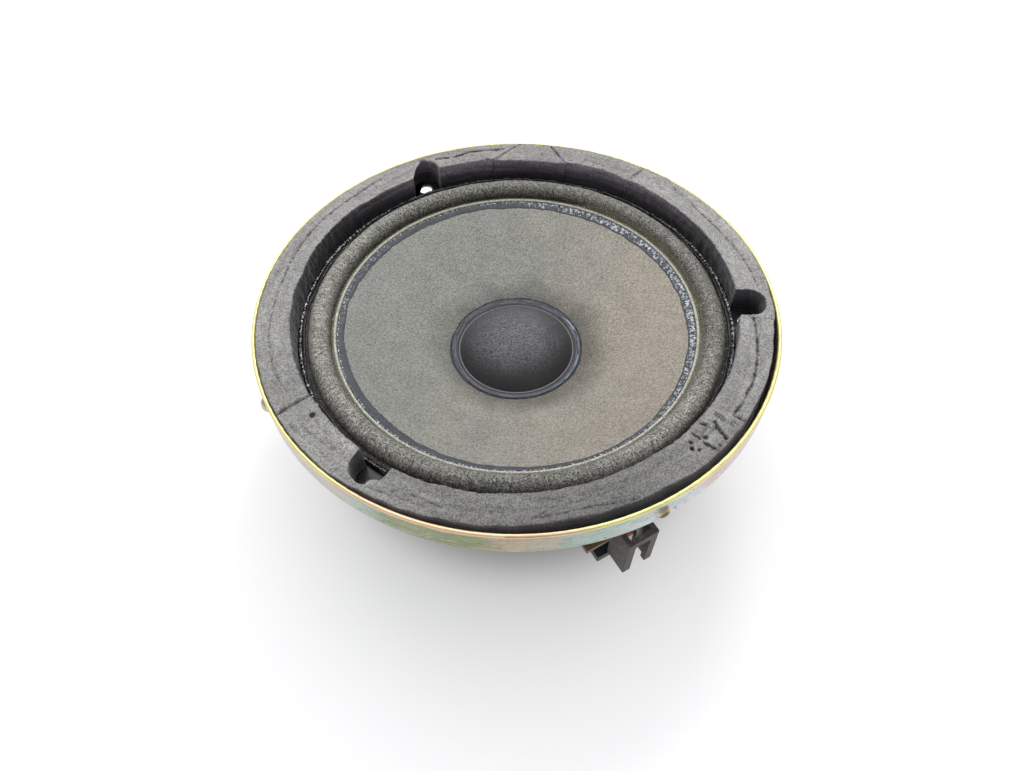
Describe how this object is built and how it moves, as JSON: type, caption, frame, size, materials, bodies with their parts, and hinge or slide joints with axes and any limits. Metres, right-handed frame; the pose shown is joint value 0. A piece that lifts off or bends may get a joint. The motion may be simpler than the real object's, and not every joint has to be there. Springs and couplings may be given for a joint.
{
  "type": "car door loudspeaker",
  "caption": "Round car door loudspeaker with a pressed steel basket, upturned lip, foam gasket, foam surround, woven cone, dust cap, ferrite magnet and side connector.",
  "frame": {"origin": "centre of the mounting hole circle, in the plane of the underside of the mounting seat", "axes": "+Z out of the cone along its axis, +X through the centre of one mounting hole"},
  "size_m": [0.166, 0.166, 0.0605],
  "materials": {
    "chromated_steel": "zinc plated steel with an iridescent yellow chromate film",
    "rivet_steel": "plated steel, satin",
    "plate_steel": "zinc plated steel, satin",
    "ferrite": "sintered ferrite, matte dark grey",
    "magnet_glue": "black epoxy",
    "mesh_cloth": "woven mesh",
    "surround_foam": "fine closed foam, matte, speckled",
    "black_adhesive": "glossy black adhesive",
    "cone_weave": "coated fine weave, olive grey",
    "cone_adhesive": "glossy blue-grey adhesive",
    "cap_cloth": "doped charcoal cloth",
    "coil_former": "resin varnished paper",
    "copper_wire": "enamelled copper",
    "spider_cloth": "resin stiffened cotton weave",
    "phenolic_board": "brown phenolic paper board",
    "shroud_plastic": "moulded brown-black plastic",
    "block_plastic": "moulded blue-black plastic",
    "solder": "bright solder",
    "red_sleeve": "red sleeve",
    "tinned_brass": "tinned brass",
    "tinsel_braid": "fine copper braid",
    "gasket_foam": "open cell foam, matte grey-black"
  },
  "bodies": {
    "frame": {"basket": "chromated_steel", "basket_rivets": "rivet_steel", "terminal_rivets": "rivet_steel", "top_plate": "plate_steel", "back_plate": "plate_steel", "pole_piece": "plate_steel", "magnet_ring": "ferrite", "magnet_adhesive": "magnet_glue", "vent_mesh": "mesh_cloth", "surround": "surround_foam", "surround_adhesive_ring": "black_adhesive", "spider": "spider_cloth", "terminal_board": "phenolic_board", "connector_shroud": "shroud_plastic", "terminal_block": "block_plastic", "solder_joints": "solder", "positive_sleeve": "red_sleeve", "blade_positive": "tinned_brass", "blade_negative": "tinned_brass", "tinsel_lead_positive": "tinsel_braid", "tinsel_lead_negative": "tinsel_braid", "gasket_strip_right": "gasket_foam", "gasket_strip_back_right": "gasket_foam", "gasket_strip_back": "gasket_foam", "gasket_strip_left": "gasket_foam", "gasket_strip_front": "gasket_foam"},
    "moving_assembly": {"cone": "cone_weave", "cone_edge_adhesive": "cone_adhesive", "dust_cap": "cap_cloth", "dust_cap_adhesive": "cone_adhesive", "cone_neck_adhesive": "cone_adhesive", "voice_coil_former": "coil_former", "voice_coil_winding": "copper_wire", "coil_leadout_wires": "copper_wire", "lead_pads": "cone_adhesive"}
  },
  "joints": [
    {"name": "cone_travel", "type": "slide", "parent": "frame", "child": "moving_assembly", "axis": [0, 0, 1], "range_m": [-0.0035, 0.0035], "stiffness_N_per_m": 1500, "deforming": ["surround", "spider", "tinsel_lead_positive", "tinsel_lead_negative"]}
  ]
}
